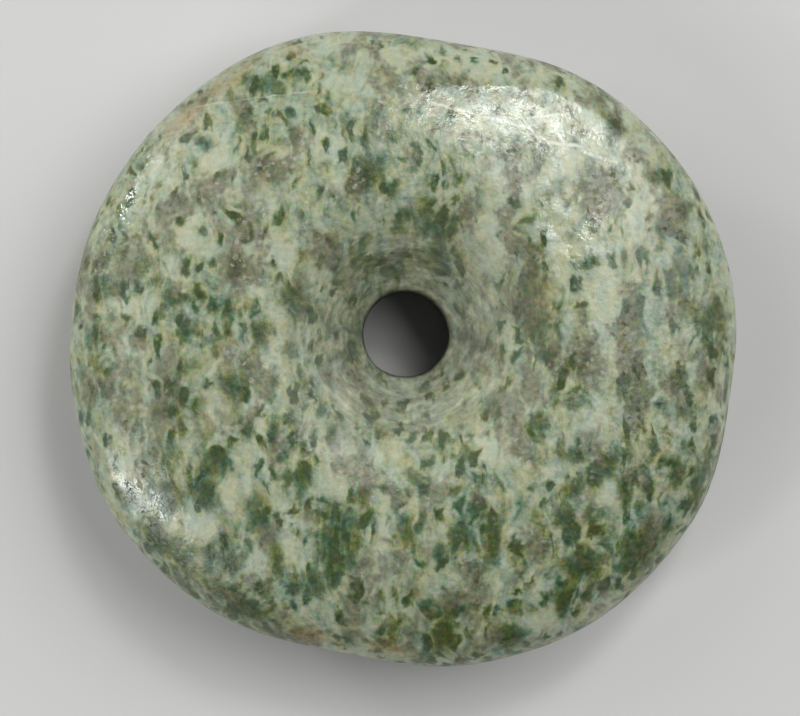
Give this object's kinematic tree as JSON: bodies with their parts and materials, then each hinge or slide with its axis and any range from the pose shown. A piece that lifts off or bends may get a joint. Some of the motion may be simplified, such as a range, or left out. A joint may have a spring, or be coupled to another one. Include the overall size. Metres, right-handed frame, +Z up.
{
  "type": "spindle whorl",
  "caption": "Spotted green stone spindle whorl: a thick domed disc with a waisted outline, dished round a bore that slides onto a wooden spindle.",
  "frame": {"origin": "on the ground, under the middle of the disc's outline, with the whorl lying on its underside", "axes": "+Z up along the bore, out of the dished face; +X along the disc's greatest width"},
  "size_m": [0.0479, 0.0456, 0.0121],
  "materials": {
    "spotted_stone": "worn polish, pale grey-green spotted with dark green and smoky brown"
  },
  "bodies": {
    "root": {"whorl": "spotted_stone"}
  },
  "joints": []
}
